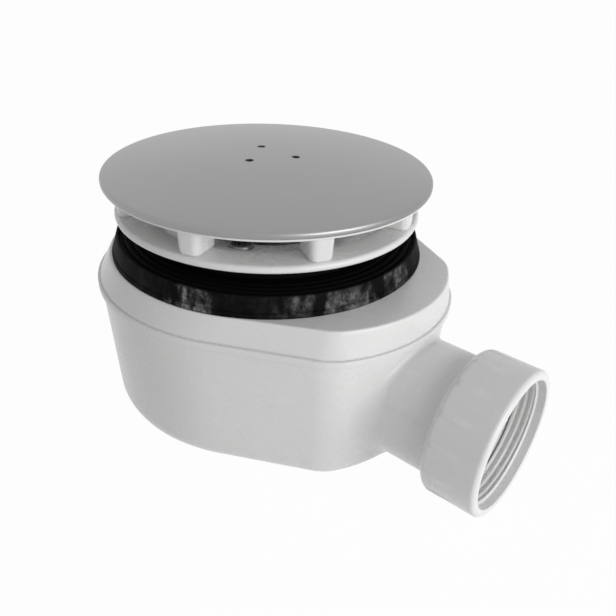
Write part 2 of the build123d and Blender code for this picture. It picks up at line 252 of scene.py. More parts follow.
# %% The ring plate and its feet
PLATE_STEPS = 192
insert = carry("cover_feet", PLATE_STEPS, softened([
    (22.0, 88.6, 0.3), (23.8, 88.6, 0.3), (23.8, 93.1, 0.6), (40.4, 93.1, 0.4), (40.4, 90.6, 0.3),
    (42.0, 90.6, 0.3), (42.0, 93.1, 0.4), (57.4, 93.1, 0.3), (57.9, 92.7, 0.2), (59.5, 92.7, 0.3),
    (59.5, 93.5, 0.2), (58.7, 93.5), (58.7, 94.7, 0.3), (22.0, 94.7, 0.3)], 3), drain_ring(PLATE_STEPS))

FOOT_COUNT, FOOT_START = 8, 16.3
FOOT_MIDDLE, FOOT_LENGTH, FOOT_WIDTH, FOOT_LOW_Z, FOOT_HEIGHT = 49.3, 12.6, 8.8, 82.9, 10.6
FOOT_DRAW, FOOT_CORNER_ROUND, FOOT_END_ROUND = (0.95, 0.88, 1.0), 2.6, 1.0


def pick_edges(piece, chosen):
    """In edit mode, select the edges that a rule on their two ends chooses."""
    bpy.ops.mesh.select_mode(type="EDGE")
    bpy.ops.mesh.select_all(action="DESELECT")
    mesh = bmesh.from_edit_mesh(piece.data)
    for edge in mesh.edges:
        edge.select_set(chosen(*(vert.co / MM for vert in edge.verts)))
    bmesh.update_edit_mesh(piece.data)


def make_foot():
    """One foot on the +X side, slightly narrower at its lower end, with well rounded corners."""
    start_clean()
    middle_z = FOOT_LOW_Z + FOOT_HEIGHT / 2
    bpy.ops.mesh.primitive_cube_add(size=1, location=(FOOT_MIDDLE * MM, 0, middle_z * MM))
    foot = bpy.context.object
    foot.scale = (FOOT_LENGTH * MM, FOOT_WIDTH * MM, FOOT_HEIGHT * MM)
    bpy.ops.object.transform_apply(location=True, rotation=True, scale=True)
    bpy.ops.object.mode_set(mode="EDIT")
    pick_edges(foot, lambda a, b: max(a.z, b.z) < middle_z)
    bpy.ops.transform.resize(value=FOOT_DRAW, center_override=(FOOT_MIDDLE * MM, 0, FOOT_LOW_Z * MM))
    pick_edges(foot, lambda a, b: abs(a.z - b.z) > 5)
    bpy.ops.mesh.bevel(offset=FOOT_CORNER_ROUND * MM, segments=7, profile=0.5, affect="EDGES")
    pick_edges(foot, lambda a, b: max(a.z, b.z) < FOOT_LOW_Z + 0.5)
    bpy.ops.mesh.bevel(offset=FOOT_END_ROUND * MM, segments=4, profile=0.5, affect="EDGES")
    bpy.ops.mesh.select_mode(type="VERT")
    bpy.ops.object.mode_set(mode="OBJECT")
    return foot


turns = [Matrix.Rotation(a, 4, "Z") for _, _, a in round_places(FOOT_COUNT, FOOT_START, 1)]
combine(insert, moved_copies(make_foot(), turns), "UNION")
install(insert, "trap", "white_plastic", "cover_insert")

# %% [markdown]
# ## The clamp flange
# A white dished ring. Its flat land carries the feet, its rim presses on the tray, and its throat
# holds the dip tube. Three pads are fused in and faced flat for the screws.

# %% The dished flange
FLANGE_STEPS = 256
SCREW_COUNT, SCREW_START, SCREW_CIRCLE = 3, -60, 38.3
PAD_RADIUS, FACING_RADIUS, PAD_LOW_Z, SEAT_Z = 4.5, 4.3, 76.4, 80.2
SCREWS = round_places(SCREW_COUNT, SCREW_START, SCREW_CIRCLE)
flange = carry("flange", FLANGE_STEPS, softened([
    (31.0, 78.2, 0.6), (33.4, 79.6, 1.5), (35.2, 79.7, 3.0), (46.6, 83.0, 9.0), (56.3, 83.0, 1.3),
    (56.3, 80.3, 1.1), (46.4, 80.3, 2.0), (37.0, 76.9, 2.0), (33.0, 76.6), (33.0, 68.0, 0.5),
    (28.3, 68.0, 0.5), (28.3, 70.0, 0.3), (31.0, 70.0)], 6), drain_ring(FLANGE_STEPS))
combine(flange, [rod(PAD_RADIUS, PAD_LOW_Z, SEAT_Z, x, y, 64) for x, y, _ in SCREWS], "UNION")
combine(flange, [rod(FACING_RADIUS, SEAT_Z, 90, x, y, 64) for x, y, _ in SCREWS], "DIFFERENCE")
install(flange, "trap", "white_plastic", "clamp_flange")

# %% [markdown]
# ## The flange screws
# Steel pan heads with a cross recess, seen in the shade under the cover. One screw is turned and its
# recess cut by two blades, then it is copied to the three pads.

# %% Pan-head screws
HEAD_STEPS = 64
BLADE_SIZE, BLADE_Z = (4.8, 0.95, 2.4), 82.6


def blade(angle):
    """A thin tool for one slot of the cross."""
    start_clean()
    bpy.ops.mesh.primitive_cube_add(size=1, location=(0, 0, BLADE_Z * MM),
                                    rotation=(0, 0, radians(angle)))
    tool = bpy.context.object
    tool.scale = [size * MM for size in BLADE_SIZE]
    bpy.ops.object.transform_apply(location=True, rotation=True, scale=True)
    return tool


screw = carry("screw", HEAD_STEPS, [(0, 82.8)] + softened([
    (2.2, 82.8, 0.5), (3.6, 82.3, 0.8), (4.0, 81.4, 0.8), (4.0, SEAT_Z, 0.2), (2.4, SEAT_Z, 0.2),
    (2.4, 63.8), (1.8, 63.2)], 4) + [(0, 63.2)], drain_ring(HEAD_STEPS), closed=False)
combine(screw, [blade(25), blade(115)], "DIFFERENCE")
copies = moved_copies(screw, [Matrix.Translation((x * MM, y * MM, 0)) for x, y, _ in SCREWS])
activate(copies[0])
for copy in copies[1:]:
    copy.select_set(True)
bpy.ops.object.join()
copies[0].name = "screws"
install(copies[0], "trap", "screw_steel", "flange_screws")

# %% [markdown]
# ## The seals
# The thin upper ring is bonded under the flange. The deep lower ring stands on the deck: its outer
# wall leans inwards, with a scored line above the foot, it has concentric ribs on top for the tray
# to press on, and a sleeve round the neck. The ribs are real steps in the profile, so that they
# catch the light at both ends.

# %% Rubber rings
SEAL_STEPS = 256
JOINT_Z, DECK_Z = 55.9, 65.8
SEAL_TOP_Z, GROOVE_FLOOR_Z, SLEEVE_TOP_Z = 73.0, 71.4, 78.4
upper_ring = carry("upper_ring", SEAL_STEPS, softened([
    (46.6, 79.4, 0.2), (54.8, 79.4, 0.3), (54.8, 80.3), (46.6, 80.3)], 3), drain_ring(SEAL_STEPS))
install(upper_ring, "trap", "black_rubber", "upper_seal")

profile = [(43.0, DECK_Z), (58.9, DECK_Z, 0.3), (58.45, 67.3, 0.3), (57.8, 67.6, 0.15),
           (58.2, 67.95, 0.3), (56.6, SEAL_TOP_Z, 0.35)]
for groove in (54.9, 52.3, 49.7):
    profile += [(groove + 0.8, SEAL_TOP_Z, 0.3), (groove + 0.5, GROOVE_FLOOR_Z, 0.2),
                (groove - 0.5, GROOVE_FLOOR_Z, 0.2), (groove - 0.8, SEAL_TOP_Z, 0.3)]
profile += [(44.8, SEAL_TOP_Z, 0.4), (44.8, SLEEVE_TOP_Z, 0.4), (43.0, SLEEVE_TOP_Z, 0.4)]
lower_ring = carry("ribbed_ring", SEAL_STEPS, softened(profile, 3), drain_ring(SEAL_STEPS))
install(lower_ring, "trap", "black_rubber", "lower_seal")

# %% [markdown]
# ## The egg-shaped plan
# Seen from above, the body is a circle behind, two rounded corners and a bowed front, all tangent,
# and the deck is a smaller outline of the same kind. Points are spread along each line, with the
# same number on each part, and each has its outward direction. Any wall of the body is then the same
# line moved in or out, and the skirt simply joins like-numbered points of the two lines.

# %% Points along the plans
# Each plan: back centre, back radius, corner x, corner y, corner radius, front x
BODY_PLAN = (-4.0, 61.3, 45.5, 18.0, 22.2, 72.9)
DECK_PLAN = (-0.6, 59.4, 49.5, 21.6, 15.8, 72.5)
FRONT_STEPS, CORNER_STEPS, SIDE_STEPS, BACK_STEPS = 64, 40, 28, 132
PLAN_STEPS = FRONT_STEPS + 2 * CORNER_STEPS + 2 * SIDE_STEPS + BACK_STEPS


def plan_shape(plan):
    """Angle of the straight sides, half angle of the bowed front, and its centre and radius."""
    back_centre, back_radius, corner_x, corner_y, corner_radius, front_x = plan
    reach, inset = corner_x - back_centre, front_x - corner_radius
    side = atan2(corner_y, reach) + acos((back_radius - corner_radius) / hypot(reach, corner_y))
    front_centre = (inset ** 2 - corner_x ** 2 - corner_y ** 2) / (2 * (inset - corner_x))
    return side, atan2(corner_y, corner_x - front_centre), front_centre, front_x - front_centre


def plan_points(plan):
    """Points (x, y, outward x, outward y) along a plan, the same number on each of its parts."""
    back_centre, back_radius, corner_x, corner_y, corner_radius, _ = plan
    side, bow, front_centre, front_radius = plan_shape(plan)

    def arc(x, y, radius, first, last, count):
        angles = [first + (last - first) * n / count for n in range(count)]
        return [(x + radius * cos(a), y + radius * sin(a), cos(a), sin(a)) for a in angles]

    def straight(start, end, angle, count):
        return [(start[0] + (end[0] - start[0]) * n / count,
                 start[1] + (end[1] - start[1]) * n / count,
                 cos(angle), sin(angle)) for n in range(count)]

    points = arc(front_centre, 0, front_radius, -bow, bow, FRONT_STEPS)
    points += arc(corner_x, corner_y, corner_radius, bow, side, CORNER_STEPS)
    back = arc(back_centre, 0, back_radius, side, 2 * pi - side, BACK_STEPS)
    last_back = (back[0][0], -back[0][1])
    corner_end = (corner_x + corner_radius * cos(side), corner_y + corner_radius * sin(side))
    points += straight(corner_end, back[0][:2], side, SIDE_STEPS) + back
    points += straight(last_back, (corner_end[0], -corner_end[1]), -side, SIDE_STEPS)
    return points + arc(corner_x, -corner_y, corner_radius, -side, -bow, CORNER_STEPS)


BODY, DECK = plan_points(BODY_PLAN), plan_points(DECK_PLAN)
SKIRT_FLARE = 0.8


def plan_ring(stop, k):
    """Stops are ("wall", offset, z) on the body plan, ("ring", radius, z) about the drain, or
    ("skirt", share, z, offset) between the deck plan and the skirt's foot."""
    kind, size, height = stop[:3]
    x, y, out_x, out_y = BODY[k]
    if kind == "wall":
        return x + out_x * size, y + out_y * size, height
    deck_x, deck_y = DECK[k][:2]
    if kind == "skirt":
        foot_x, foot_y = x + out_x * SKIRT_FLARE, y + out_y * SKIRT_FLARE
        return (deck_x + (foot_x - deck_x) * size + out_x * stop[3],
                deck_y + (foot_y - deck_y) * size + out_y * stop[3], height)
    angle = atan2(deck_y, deck_x)
    return size * cos(angle), size * sin(angle), height


along_x = [point[0] for point in BODY]
print("body plan from x", round(min(along_x), 1), "to", round(max(along_x), 1))

# %% [markdown]
# ## The upper housing
# The deck with its short flared skirt and the neck that passes through the tray. Its lower edge
# stands back a little above the lip of the bowl, which gives the fine dark joint line.

# %% Deck, skirt and neck
WALL, CEILING_Z, NECK_BORE, NECK_RADIUS, NECK_TOP_Z = 2.5, 63.2, 39.6, 42.5, 76.4
CEILING_SHARE = 0.27
deck = [("ring", r, z) for r, z in softened([
    (NECK_BORE, NECK_TOP_Z, 0.4), (NECK_RADIUS, NECK_TOP_Z, 0.4), (NECK_RADIUS, DECK_Z, 0.4),
    (46.0, DECK_Z)], 3)[:-1]]
deck += [("ring", 50.0, DECK_Z), ("ring", 55.0, DECK_Z), ("skirt", 0, DECK_Z, -1.0)]
edge = [(DECK_Z, -0.7), (65.77, -0.42), (65.68, -0.2), (65.52, -0.06), (65.3, 0.0), (64.0, 0),
        (61.0, 0), (58.0, 0), (56.9, 0), (56.5, -0.03), (56.33, -0.15), (56.28, -0.5),
        (JOINT_Z, -0.5), (JOINT_Z, -WALL)]
deck += [("skirt", (DECK_Z - z) / (DECK_Z - JOINT_Z), z, offset) for z, offset in edge]
deck += [("skirt", CEILING_SHARE, CEILING_Z, -WALL), ("ring", NECK_BORE, CEILING_Z)]
housing = carry("housing", PLAN_STEPS, deck, plan_ring)
install(housing, "trap", "white_plastic", "upper_housing")

# %% [markdown]
# ## The lower bowl
# The largest piece: a drafted, round-bottomed bowl with a lip at the joint and a spigot that grows
# out of its front in a soft hollow curve. The outer skin and the inner skin are carried separately.
# A flared tool opens the outer skin where the hollow begins, and the open edge is then extruded
# along the curve, down the spigot, round its collar and back through the bore. Blending by hand like
# this keeps the wall and the spigot one smooth skin, which a bevel on a Boolean edge would not.

# %% Skins of the bowl
FLOOR, BASE_ROUND, LIP_OFFSET, LIP_LOW_Z, INNER_TOP_Z = 2.8, 10.6, 1.5, 53.2, 54.5
TOP_OFFSET, DRAFT = 0.5, 3.6
OUTLET_Z, SPIGOT_RADIUS, BORE = 29.0, 22.2, 18.2


def bowl_wall(height, inset, base, rounding):
    """Offset of the drafted wall from the plan at a height, with its rounded foot."""
    slope = DRAFT / (JOINT_Z - base)
    low = TOP_OFFSET - inset - DRAFT
    centre_z = base + rounding
    centre = low + slope * rounding - rounding * sqrt(1 + slope ** 2)
    touch_z = centre_z - rounding * slope / sqrt(1 + slope ** 2)
    if height >= touch_z:
        return low + slope * (height - base)
    return centre + sqrt(max(rounding ** 2 - (height - centre_z) ** 2, 0))


def skin_stops(inset, base, rounding, top):
    """Stops down a wall and round its foot to the flat."""
    heights = [top, 50, 46, 42, 38, 34, 30, 26, 22, 18, 14]
    heights += [base + rounding * (1 - sin(radians(a))) for a in range(0, 91, 9)]
    return [("wall", bowl_wall(z, inset, base, rounding), z) for z in heights]


def cap_ends(piece):
    """Close the open rings of a skin with flat faces."""
    open_edit(piece)
    bpy.ops.mesh.select_mode(type="EDGE")
    bpy.ops.mesh.select_non_manifold()
    bpy.ops.mesh.edge_face_add()
    bpy.ops.mesh.select_all(action="SELECT")
    bpy.ops.mesh.normals_make_consistent(inside=False)
    bpy.ops.mesh.select_mode(type="VERT")
    bpy.ops.object.mode_set(mode="OBJECT")


def make_skin(name, stops):
    """Carry a wall along the plan and close it at both ends."""
    skin = carry(name, PLAN_STEPS, stops, plan_ring, closed=False)
    cap_ends(skin)
    report(skin)
    return skin


lip = [("wall", offset, z) for offset, z in softened([
    (-2.0, JOINT_Z), (LIP_OFFSET, JOINT_Z, 0.25), (LIP_OFFSET, LIP_LOW_Z, 0.5), (0.33, LIP_LOW_Z)], 4)]
outer = make_skin("bowl", lip[:-1] + skin_stops(0, 0, BASE_ROUND, LIP_LOW_Z))
inner = make_skin("chamber", [lip[0]] + skin_stops(WALL, FLOOR, BASE_ROUND - WALL, INNER_TOP_Z))

# %% [markdown]
# ## The weir
# A low wall across the bowl keeps the standing water in. A plain slab is cut to the shape of a third
# skin that runs in the middle of the bowl's wall, so its ends are buried when the two are fused.

# %% A slab cut to the bowl
WEIR_MIDDLE, WEIR_THICKNESS, WEIR_TOP, SLAB_LENGTH = 37.8, 2.4, 44.0, 120
start_clean()
bpy.ops.mesh.primitive_cube_add(size=1, location=(WEIR_MIDDLE * MM, 0, WEIR_TOP / 2 * MM))
weir = bpy.context.object
weir.name = "weir"
weir.scale = (WEIR_THICKNESS * MM, SLAB_LENGTH * MM, WEIR_TOP * MM)
bpy.ops.object.transform_apply(location=True, rotation=True, scale=True)
middle = make_skin("middle", skin_stops(WALL / 2, FLOOR / 2, BASE_ROUND - WALL / 2, INNER_TOP_Z))
combine(weir, [middle], "INTERSECT")
report(weir)

# %% [markdown]
# ## Opening the bowl
# Two tools are pushed through the front: a flared one for the outer skin, as wide as the hollow curve
# at the spigot's root, and a plain one for the bore. The faces they leave behind are deleted, because
# only the clean open edges are wanted.

# %% Opening the skins for the outlet
HOLLOW_TOP, HOLLOW_LOW, HOLLOW_SIDE = 1.7, 4.6, 1.2
OPENING_STEPS, TOOL_FROM, TOOL_TO = 192, 45, 130


def outlet_ring(steps):
    """Places round the outlet axis for stops of (x, radius)."""
    return lambda stop, k: (stop[0], stop[1] * cos(2 * pi * k / steps),
                            OUTLET_Z + stop[1] * sin(2 * pi * k / steps))


def hollow_size(angle):
    """Reach of the hollow curve at the spigot's root: little at the top, more at the sides."""
    rise = sin(angle)
    side = 0.5 + 0.5 * cos(pi * min(max((rise - 0.1) / 0.9, 0), 1))
    return HOLLOW_TOP + (HOLLOW_LOW + HOLLOW_SIDE * cos(angle) ** 2 - HOLLOW_TOP) * side


def flared_tool(stop, k):
    """Places on the flared tool for stops of (x, share of the flare)."""
    angle = 2 * pi * k / OPENING_STEPS
    radius = stop[1] * (SPIGOT_RADIUS + hollow_size(angle)) if stop[1] else 0.0
    return stop[0], radius * cos(angle), OUTLET_Z + radius * sin(angle)


def open_skin(skin, tool, limit):
    """Cut a skin with a tool and delete the pocket's own faces, which leaves an open edge."""
    combine(skin, [tool], "DIFFERENCE")
    open_edit(skin)
    mesh = bmesh.from_edit_mesh(skin.data)
    for face in mesh.faces:
        middle = face.calc_center_median() / MM
        angle = atan2(middle.z - OUTLET_Z, middle.y)
        inside = hypot(middle.y, middle.z - OUTLET_Z) < limit(angle) + 0.002
        face.select_set(middle.x > 40 and inside)
    bmesh.update_edit_mesh(skin.data)
    bpy.ops.mesh.delete(type="FACE")
    bpy.ops.object.mode_set(mode="OBJECT")


def through(reach):
    """Stops of a closed tool that runs through the front wall."""
    return [(TOOL_FROM, 0), (TOOL_FROM, reach), (TOOL_TO, reach), (TOOL_TO, 0)]


tool = carry("tool", OPENING_STEPS, through(1), flared_tool, closed=False)
open_skin(outer, tool, lambda angle: SPIGOT_RADIUS + hollow_size(angle))
tool = carry("tool", OPENING_STEPS, through(BORE), outlet_ring(OPENING_STEPS), closed=False)
open_skin(inner, tool, lambda angle: BORE)
report(outer)

# %% [markdown]
# ## The spigot
# The open edge is extruded ring by ring. Each point remembers its angle, its reach beyond the spigot
# and how far it stood off the wall, so the first rings sweep a hollow curve from the wall into the
# tube. The later rings run down the tube, round the collar that holds the nut and back in the bore.

# %% Growing the spigot out of the open edge
HOLLOW_RINGS = 12
SPIGOT_END, JOURNAL, COLLAR, COLLAR_FROM, COLLAR_END = 90.4, 20.9, 22.0, 95.4, 98.0


def front_x(y, z):
    """Where the bowl's outer wall stands in front, at a place across and up."""
    offset, across = bowl_wall(z, 0, 0, BASE_ROUND), abs(y)
    _, bow, front_centre, front_radius = plan_shape(BODY_PLAN)
    if across <= (front_radius + offset) * sin(bow):
        return front_centre + sqrt((front_radius + offset) ** 2 - across ** 2)
    _, _, corner_x, corner_y, corner_radius, _ = BODY_PLAN
    return corner_x + sqrt(max((corner_radius + offset) ** 2 - (across - corner_y) ** 2, 0))


def wall_at(radius, angle):
    """The wall's x at a place round the outlet axis."""
    return front_x(radius * cos(angle), OUTLET_Z + radius * sin(angle))


open_edit(outer)
bpy.ops.mesh.select_mode(type="EDGE")
bpy.ops.mesh.select_all(action="DESELECT")
bpy.ops.mesh.select_non_manifold()
mesh = bmesh.from_edit_mesh(outer.data)
turn_layer = mesh.verts.layers.float.new("turn")
reach_layer = mesh.verts.layers.float.new("reach")
slip_layer = mesh.verts.layers.float.new("slip")
for vert in mesh.verts:
    if vert.select:
        x, y, z = vert.co / MM
        vert[turn_layer] = atan2(z - OUTLET_Z, y)
        vert[reach_layer] = hypot(y, z - OUTLET_Z) - SPIGOT_RADIUS
        vert[slip_layer] = x - wall_at(hypot(y, z - OUTLET_Z), vert[turn_layer])
bmesh.update_edit_mesh(outer.data)


def next_ring(rule):
    """Extrude the open edge once and put its points by a rule of (angle, reach, slip)."""
    bpy.ops.mesh.extrude_region()
    edit = bmesh.from_edit_mesh(outer.data)
    turn, reach, slip = (edit.verts.layers.float[n] for n in ("turn", "reach", "slip"))
    for point in edit.verts:
        if point.select:
            x, radius = rule(point[turn], point[reach], point[slip])
            across, up = radius * cos(point[turn]), radius * sin(point[turn])
            point.co = Vector((x, across, OUTLET_Z + up)) * MM
    bmesh.update_edit_mesh(outer.data)


def hollow_rule(share):
    """The rule for a ring at a share of the quarter turn from the wall into the tube."""
    def rule(angle, reach, slip):
        radius = SPIGOT_RADIUS + reach * (1 - sin(share * pi / 2))
        x = wall_at(radius, angle) + slip * (1 - share) + reach * (1 - cos(share * pi / 2))
        return x, radius
    return rule


for n in range(1, HOLLOW_RINGS + 1):
    next_ring(hollow_rule(n / HOLLOW_RINGS))
spigot = softened([
    (80, SPIGOT_RADIUS), (SPIGOT_END, SPIGOT_RADIUS, 0.4), (SPIGOT_END, JOURNAL),
    (COLLAR_FROM, JOURNAL), (COLLAR_FROM, COLLAR, 0.3), (COLLAR_END, COLLAR, 0.3),
    (COLLAR_END, BORE, 0.3), (76.0, BORE)], 3)
for x, radius in spigot:
    next_ring(lambda angle, reach, slip, x=x, radius=radius: (x, radius))
mesh = bmesh.from_edit_mesh(outer.data)
for name in ("turn", "reach", "slip"):
    mesh.verts.layers.float.remove(mesh.verts.layers.float[name])
bmesh.update_edit_mesh(outer.data)
bpy.ops.object.mode_set(mode="OBJECT")
report(outer)

# %% [markdown]
# ## Closing the bowl
# The flat caps at the joint go, the inner skin is turned inside out, and both skins are joined. The
# open edges that face each other are bridged, so the bowl is one closed wall. The weir and the fine
# mould seam along the spigot are fused in last.

# %% One closed bowl
def drop_top_caps(skin):
    """Delete the flat face that closed a skin at the joint."""
    open_edit(skin)
    edit = bmesh.from_edit_mesh(skin.data)
    for face in edit.faces:
        face.select_set(len(face.verts) > 100 and face.calc_center_median().z > 50 * MM)
    bmesh.update_edit_mesh(skin.data)
    bpy.ops.mesh.delete(type="FACE")
    bpy.ops.object.mode_set(mode="OBJECT")


for skin in (outer, inner):
    drop_top_caps(skin)
open_edit(inner, "SELECT")
bpy.ops.mesh.flip_normals()
bpy.ops.object.mode_set(mode="OBJECT")
activate(outer)
inner.select_set(True)
bpy.ops.object.join()
bpy.ops.object.mode_set(mode="EDIT")
bpy.ops.mesh.select_all(action="SELECT")
bpy.ops.mesh.remove_doubles(threshold=2e-6)
bpy.ops.mesh.select_all(action="DESELECT")
bpy.ops.mesh.select_mode(type="EDGE")
bpy.ops.mesh.select_non_manifold()
mesh = bmesh.from_edit_mesh(outer.data)
print("open edges to bridge", sum(edge.select for edge in mesh.edges))
bpy.ops.mesh.bridge_edge_loops()
bpy.ops.mesh.select_all(action="SELECT")
bpy.ops.mesh.normals_make_consistent(inside=False)
bpy.ops.mesh.select_mode(type="VERT")
bpy.ops.object.mode_set(mode="OBJECT")

SEAM_ANGLE, SEAM_RADIUS, SEAM_FROM, SEAM_TO = radians(159), 0.3, 67.0, 89.8
start_clean()
bpy.ops.mesh.primitive_cylinder_add(
    vertices=12, radius=SEAM_RADIUS * MM, depth=(SEAM_TO - SEAM_FROM) * MM, rotation=(0, pi / 2, 0),
    location=((SEAM_FROM + SEAM_TO) / 2 * MM, SPIGOT_RADIUS * cos(SEAM_ANGLE) * MM,
              (OUTLET_Z + SPIGOT_RADIUS * sin(SEAM_ANGLE)) * MM))
seam = bpy.context.object
bpy.ops.object.transform_apply(location=True, rotation=True, scale=True)
combine(outer, [weir, seam], "UNION")
install(outer, "trap", "white_plastic", "lower_bowl")

# %% [markdown]
# ## The outlet nut
# A moulded coupling nut: rounded rims, fifteen low grip ribs, and a pipe thread inside. Ribs and
# thread are both small changes of radius, so they go into the rule that places each ring's points:
# the ribs come from the angle, the thread from the angle and the distance along the axis.

# %% Ribs and thread in one carried profile
NUT_STEPS = 480
RIB_COUNT, RIB_START, RIB_HALF, RIB_HEIGHT = 15, radians(94), 1.1, 0.35
RIB_REAR, RIB_FADE, RIB_STEP = (92.6, 93.8), (105.0, 97.0), 0.6
PITCH, MINOR, DEPTH, THREAD_STEP = 2.309, 22.42, 0.8, 0.19
THREAD_IN, THREAD_OUT = 101.0, 107.4
NUT_REAR, NUT_FRONT, NUT_RADIUS, MOUTH_RADIUS = 90.9, 111.0, 26.4, 23.2


def fade(value, low, high):
    """Smooth step from 0 at low to 1 at high."""
    share = min(max((value - low) / (high - low), 0), 1)
    return share * share * (3 - 2 * share)


def nut_ring(stop, k):
    """Places round the outlet axis for stops of (x, radius, kind)."""
    x, radius, kind = stop
    angle = 2 * pi * k / NUT_STEPS
    if kind == "ribbed":
        gap = (angle - RIB_START) * RIB_COUNT / (2 * pi)
        across = abs(gap - round(gap)) * 2 * pi / RIB_COUNT * radius
        height = RIB_HEIGHT * fade(across, RIB_HALF + 0.35, RIB_HALF - 0.45)
        radius += height * fade(x, *RIB_REAR) * fade(x, *RIB_FADE)
    if kind == "thread":
        phase = (x / PITCH - angle / (2 * pi)) % 1
        wave = fade(abs(phase - 0.5), 0.08, 0.40)
        depth = DEPTH * (1 - wave) * fade(x, THREAD_OUT, THREAD_OUT - 1.0)
        radius += depth * fade(x, THREAD_IN, THREAD_IN + 0.6)
    return x, radius * cos(angle), OUTLET_Z + radius * sin(angle)


shell = softened([
    (NUT_REAR, 21.3, 0.3), (NUT_REAR, NUT_RADIUS, 2.3), (NUT_FRONT, NUT_RADIUS, 2.75),
    (NUT_FRONT, MOUTH_RADIUS, 0.4), (108.0, MOUTH_RADIUS, 0.1), (107.5, MINOR, 0.1),
    (100.9, MINOR, 0.1), (100.9, 23.4), (95.0, 23.4), (95.0, 21.3, 0.2)], 7)
stops = []
for (x, r), (next_x, next_r) in zip(shell, shell[1:] + shell[:1]):
    kind = "ribbed" if r > NUT_RADIUS - 0.5 else "plain"
    stops.append((x, r, kind))
    if min(r, next_r) > NUT_RADIUS - 0.1 and next_x > x:
        count = int((next_x - x) / RIB_STEP)
        stops += [(x + (next_x - x) * n / count, r, "ribbed") for n in range(1, count)]
    if max(abs(r - MINOR), abs(next_r - MINOR)) < 0.05 and x - next_x > 5:
        count = int((x - next_x) / THREAD_STEP)
        stops += [(x + (next_x - x) * n / count, MINOR, "thread") for n in range(1, count)]
nut = carry("nut", NUT_STEPS, stops, nut_ring)
install(nut, "nut", "white_plastic", "outlet_nut", angle=40)

# %% [markdown]
# ## Finishes as sums
# A finish is easier to read as a sum than as a chain of boxes. `Wire` holds one output of a node and
# turns +, -, * and / into Math nodes, `Nodes` adds any other node to a tree, and `Finish` is a
# material that feeds its shader. All patterns stand on Object coordinates, which here are the trap's
# own metres.

# %% Wires and finishes
class Wire:
    """One output socket that can be used in sums."""

    def __init__(self, nodes, socket):
        self.nodes, self.socket = nodes, socket

    def sum(self, operation, *values):
        return self.nodes.node("ShaderNodeMath", {"operation": operation}, dict(enumerate(values)))

    def __add__(self, other): return self.sum("ADD", self, other)
    def __radd__(self, other): return self.sum("ADD", other, self)
    def __sub__(self, other): return self.sum("SUBTRACT", self, other)
    def __rsub__(self, other): return self.sum("SUBTRACT", other, self)
    def __mul__(self, other): return self.sum("MULTIPLY", self, other)
    def __rmul__(self, other): return self.sum("MULTIPLY", other, self)
    def __truediv__(self, other): return self.sum("DIVIDE", self, other)
    def __rtruediv__(self, other): return self.sum("DIVIDE", other, self)
    def __pow__(self, other): return self.sum("POWER", self, other)

    def between(self, low, high):
        """0 below low, 1 above high, smooth between."""
        return self.nodes.node("ShaderNodeMapRange", {"interpolation_type": "SMOOTHSTEP"},
                               {"Value": self, "From Min": low, "From Max": high})


class Nodes:
    """A node tree to which nodes are added."""

    def __init__(self, tree):
        self.tree = tree

    def node(self, kind, settings, inputs, output=0):
        """Add a node: its settings first, then the values or wires of its sockets."""
        new = self.tree.nodes.new(kind)
        for name, value in settings.items():
            setattr(new, name, value)
        for key, value in inputs.items():
            if isinstance(value, Wire):
                self.tree.links.new(value.socket, new.inputs[key])
            else:
                new.inputs[key].default_value = value
        return Wire(self, new.outputs[output])


class Finish(Nodes):
    """A material whose shader is fed by wires."""

    def __init__(self, name, **constants):
        self.material = bpy.data.materials.new(name)
        self.material.use_nodes = True
        super().__init__(self.material.node_tree)
        self.shader = self.tree.nodes["Principled BSDF"]
        for socket, value in constants.items():
            self.shader.inputs[socket.replace("_", " ")].default_value = value
        self.place = self.node("ShaderNodeTexCoord", {}, {}, "Object")

    def feed(self, socket, wire):
        self.tree.links.new(wire.socket, self.shader.inputs[socket])

    def stretched(self, scale):
        """The place, scaled along each axis, for patterns that run one way."""
        return self.node("ShaderNodeMapping", {}, {"Vector": self.place, "Scale": scale})

    def clouds(self, scale, detail=2.0, rough=0.5, where=None):
        """A soft noise from 0 to 1."""
        inputs = {"Vector": where or self.place, "Scale": scale, "Detail": detail, "Roughness": rough}
        return self.node("ShaderNodeTexNoise", {}, inputs, "Fac")

    def mixed(self, share, first, second):
        """A colour between two; the Mix node's sockets 6 and 7 are its colours."""
        inputs = {"Factor": share, 6: first + (1,), 7: second + (1,)}
        return self.node("ShaderNodeMix", {"data_type": "RGBA"}, inputs, 2)

    def tint(self, tone, first, second, low=0.3, high=0.7):
        """Let a noise shift the base colour between two."""
        self.feed("Base Color", self.mixed(tone.between(low, high), first, second))

    def bump(self, height, depth_mm, strength=1.0):
        inputs = {"Height": height, "Strength": strength, "Distance": depth_mm * MM}
        self.feed("Normal", self.node("ShaderNodeBump", {}, inputs, "Normal"))

    def axes(self):
        """The place's three numbers as wires."""
        split = self.node("ShaderNodeSeparateXYZ", {}, {"Vector": self.place}).socket.node
        return [Wire(self, split.outputs[k]) for k in range(3)]


print("finishes can be written as sums")

# %% [markdown]
# ## White plastic
# Injection-moulded and new: clean, glossy, and never quite flat. Slow clouds change the white by a
# percent or two, the gloss changes from place to place, and a very fine ripple breaks up the
# reflections as a moulded skin does.

# %% Moulded white
def white_plastic():
    finish = Finish("moulded_white", IOR=1.5)
    tone = finish.clouds(28.0, 3.0)
    finish.tint(tone, (0.804, 0.804, 0.8), (0.82, 0.82, 0.816))
    finish.feed("Roughness", 0.2 + 0.14 * finish.clouds(90.0, 4.0, 0.6))
    ripple = finish.clouds(260.0, 2.0) + 0.35 * finish.clouds(1500.0, 2.0)
    finish.bump(ripple, 0.03, 0.5)
    return finish.material
